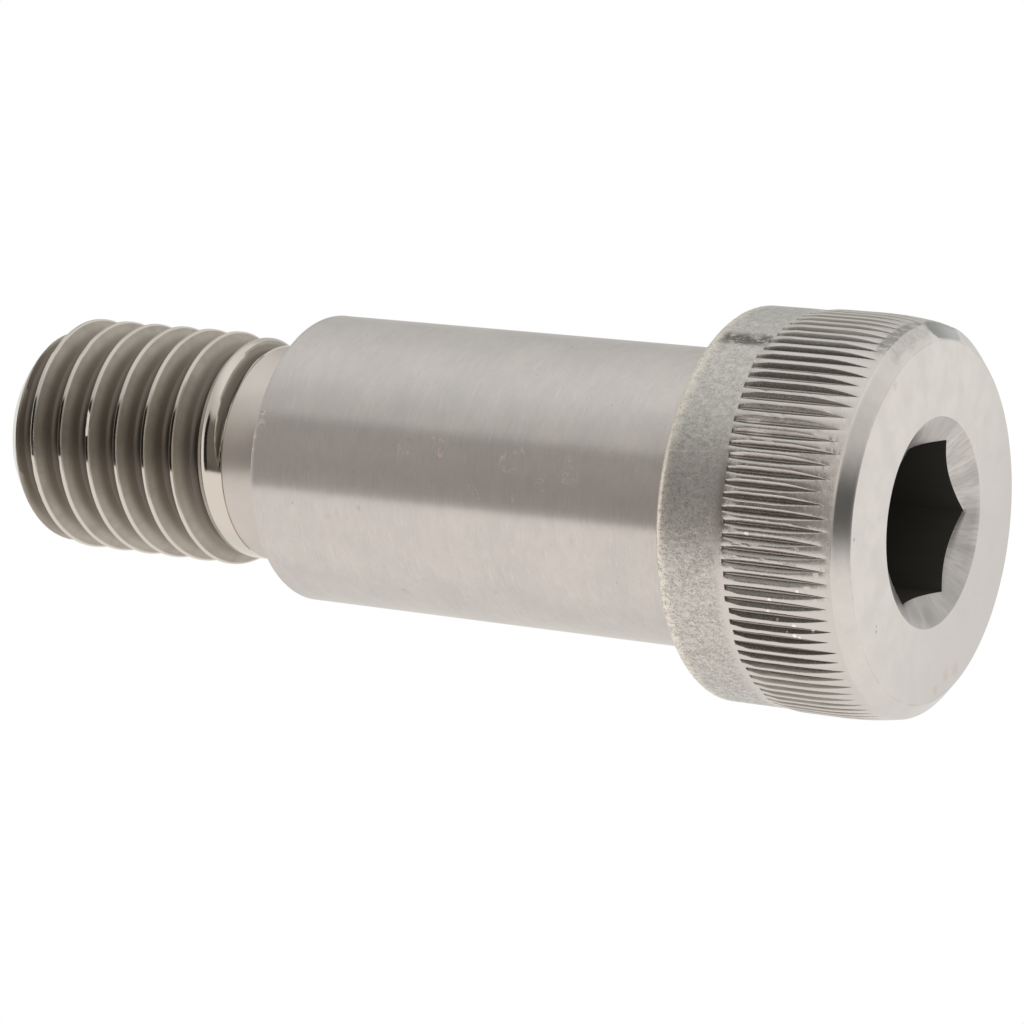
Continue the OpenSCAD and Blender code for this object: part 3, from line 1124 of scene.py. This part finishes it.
photoView = {
    "lens": 145.643,
    "aim": (-0.001648, 0.002085, 0.030917),
    "distance": 0.27101,
    "azimuth": -19.1567,
    "elevation": -30.949,
    "roll": -83.5508,
}
studio = {
    "floorR": 0.5,
    "floorColour": (0.86, 0.86, 0.85, 1),
    "ambient": 0.7,
    # name, place, size and power
    "lamps": [("keyLamp", (0.25, -0.35, 0.55), 0.5, 3.0), ("fillLamp", (-0.5, 0.1, 0.45), 0.6, 1.4)],
}
lightTent = {
    "radius": 0.6,
    "upAngle": -22.48,  # which side of the bolt is up in the photo
    # cloth on the photographer's side: left (towards the thread) and right
    "below": ((0.97, 0.935, 0.915, 1), (0.92, 0.905, 0.885, 1)),
    "aboveLeft": ((0.60, 0.60, 0.59, 1), (0.92, 0.925, 0.92, 1)),
    "aboveRight": ((0.62, 0.615, 0.60, 1), (0.94, 0.94, 0.925, 1)),
    "behind": ((0.88, 0.865, 0.85, 1), (0.97, 0.95, 0.935, 1)),
    "behindTop": (0.84, 0.84, 0.83, 1),
    # what stands before the tent's open side: (from, to, lowest, highest) in degrees, how soft its
    # sides and its top are, and its colour. The first two angles turn from the near side towards the
    # head, the others rise towards the photo's top
    "openSide": {
        "roomLight": ((-8, 48, -22, 38), (3, 8), (0.38, 0.36, 0.345, 1)),
        "roomGlow": ((-9, 48, 8, 44), (13, 13), (0.80, 0.77, 0.74, 1)),
        "roomBrown": ((-24, -8, -22, 28), (1.2, 7), (0.17, 0.148, 0.13, 1)),
        "darkStand": ((-40, -23.5, -22, 28), (0.8, 4), (0.012, 0.011, 0.010, 1)),
        "darkDoor": ((50, 92, -12, 17), (9, 9), (0.085, 0.085, 0.085, 1)),
        "backWall": ((-178, -100, 8, 50), (8, 8), (0.62, 0.625, 0.61, 1)),
    },
}


def placeCamera():
    a, e = radians(photoView["azimuth"]), radians(photoView["elevation"])
    back = Vector((sin(a) * cos(e), -cos(a) * cos(e), sin(e)))
    turn = (-back).to_track_quat("-Z", "Y") @ Quaternion((0, 0, 1), radians(photoView["roll"]))
    place = Vector(photoView["aim"]) + back * photoView["distance"]
    bpy.ops.object.camera_add(location=place, rotation=turn.to_euler())
    camera = bpy.context.object
    camera.data.lens = photoView["lens"]
    camera.data.sensor_width = 36
    camera.data.clip_start, camera.data.clip_end = 0.01, 10
    bpy.context.scene.camera = camera


def whiteWorld():
    world = bpy.data.worlds.new("studio")
    bpy.context.scene.world = world
    board = Board(world)
    seen = board.add("LightPath", output="Is Camera Ray")
    mirrored = board.add("LightPath", output="Is Glossy Ray")
    through = board.add("LightPath", output="Is Transmission Ray")
    direct = seen + mirrored + through
    strength = studio["ambient"] + (1 - studio["ambient"]) * (direct > 0.5)
    glow = board.add("Background", None, {"Color": (1, 1, 1, 1), "Strength": strength})
    board.add("OutputWorld", None, {"Surface": glow})


def layFloor():
    bpy.ops.mesh.primitive_circle_add(
        vertices=96, radius=studio["floorR"], fill_type="NGON", location=(0, 0, -0.00003)
    )
    floor = bpy.context.object
    floor.name = "floor"
    material = bpy.data.materials.new("paleFloor")
    board = Board(material)
    place = board.add("TexCoord", output=3)
    away = board.vector("LENGTH", place, output=1)
    above = 1 - board.add("NewGeometry", output="Backfacing")
    solid = board.ease(away, 0.12, 0.4, 1.0, 0.0) * above
    pale = board.add("BsdfDiffuse", None, {"Color": studio["floorColour"]})
    clear = board.add("BsdfTransparent")
    surface = board.add("MixShader", None, {0: solid, 1: clear, 2: pale})
    board.add("OutputMaterial", None, {"Surface": surface})
    floor.data.materials.append(material)
    for ray in ("visible_diffuse", "visible_glossy", "visible_transmission", "visible_shadow"):
        setattr(floor, ray, False)


def pitchTent():
    # a light tent with its open side towards the photographer, seen only in reflections
    bpy.ops.mesh.primitive_uv_sphere_add(
        segments=64, ring_count=32, radius=lightTent["radius"], location=(0, 0, 0.033)
    )
    tent = bpy.context.object
    tent.name = "lightTent"
    bpy.ops.object.shade_smooth()
    material = bpy.data.materials.new("tentCloth")
    board = Board(material)
    place = board.add("TexCoord", output=3)
    up, share = radians(lightTent["upAngle"]), 1 / lightTent["radius"]
    high = board.dot(place, (cos(up) * share, sin(up) * share, 0))
    near = board.dot(place, (sin(up) * share, -cos(up) * share, 0))
    right = board.dot(place, (0, 0, -share))
    turned = board.add("Math", {"operation": "ARCTAN2"}, {0: right, 1: near}) * (180 / pi)
    raised = board.add("Math", {"operation": "ARCSINE"}, {0: high}) * (180 / pi)
    rightward = board.ease(right, -0.4, 0.7)
    below = board.mix(rightward, *lightTent["below"])
    aboveLeft = board.mix(board.ease(raised, 28, 72), *lightTent["aboveLeft"])
    aboveRight = board.mix(board.ease(raised, 25, 60), *lightTent["aboveRight"])
    walls = board.mix(board.ease(raised, -2, 26), below, board.mix(rightward, aboveLeft, aboveRight))
    behind = board.mix(rightward, *lightTent["behind"])
    behind = board.mix(board.ease(high, -0.5, 0.9), behind, lightTent["behindTop"])
    colour = board.mix(board.ease(near, -0.35, 0.1), behind, walls)
    for (start, end, lowest, highest), (soft, topSoft), shade in lightTent["openSide"].values():
        shape = board.window(turned, start, end, soft) * board.ease(raised, lowest - soft, lowest + soft)
        shape *= board.ease(raised, highest - topSoft, highest + topSoft, 1.0, 0.0)
        colour = board.mix(shape, colour, shade)
    glow = board.add("Emission", None, {"Color": colour, "Strength": 1.0})
    board.add("OutputMaterial", None, {"Surface": glow})
    material.cycles.emission_sampling = "NONE"
    tent.data.materials.append(material)
    for ray in ("visible_camera", "visible_diffuse", "visible_transmission", "visible_shadow"):
        setattr(tent, ray, False)


def hangLamps():
    # soft light for what isn't metal: the floor and the shadow on it
    for name, place, size, power in studio["lamps"]:
        aim = Vector((0, 0, 0.03)) - Vector(place)
        turn = aim.to_track_quat("-Z", "Y").to_euler()
        bpy.ops.object.light_add(type="AREA", location=place, rotation=turn)
        lamp = bpy.context.object
        lamp.name = name
        lamp.data.size = size
        lamp.data.energy = power
        lamp.visible_glossy = False


bpy.context.scene.view_settings.view_transform = "Standard"
placeCamera()
whiteWorld()
layFloor()
pitchTent()
hangLamps()
print("studio ready")

bolt = makeBolt()
dressBolt(bolt)
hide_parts("shoulder_bolt")
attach(bolt, "root")
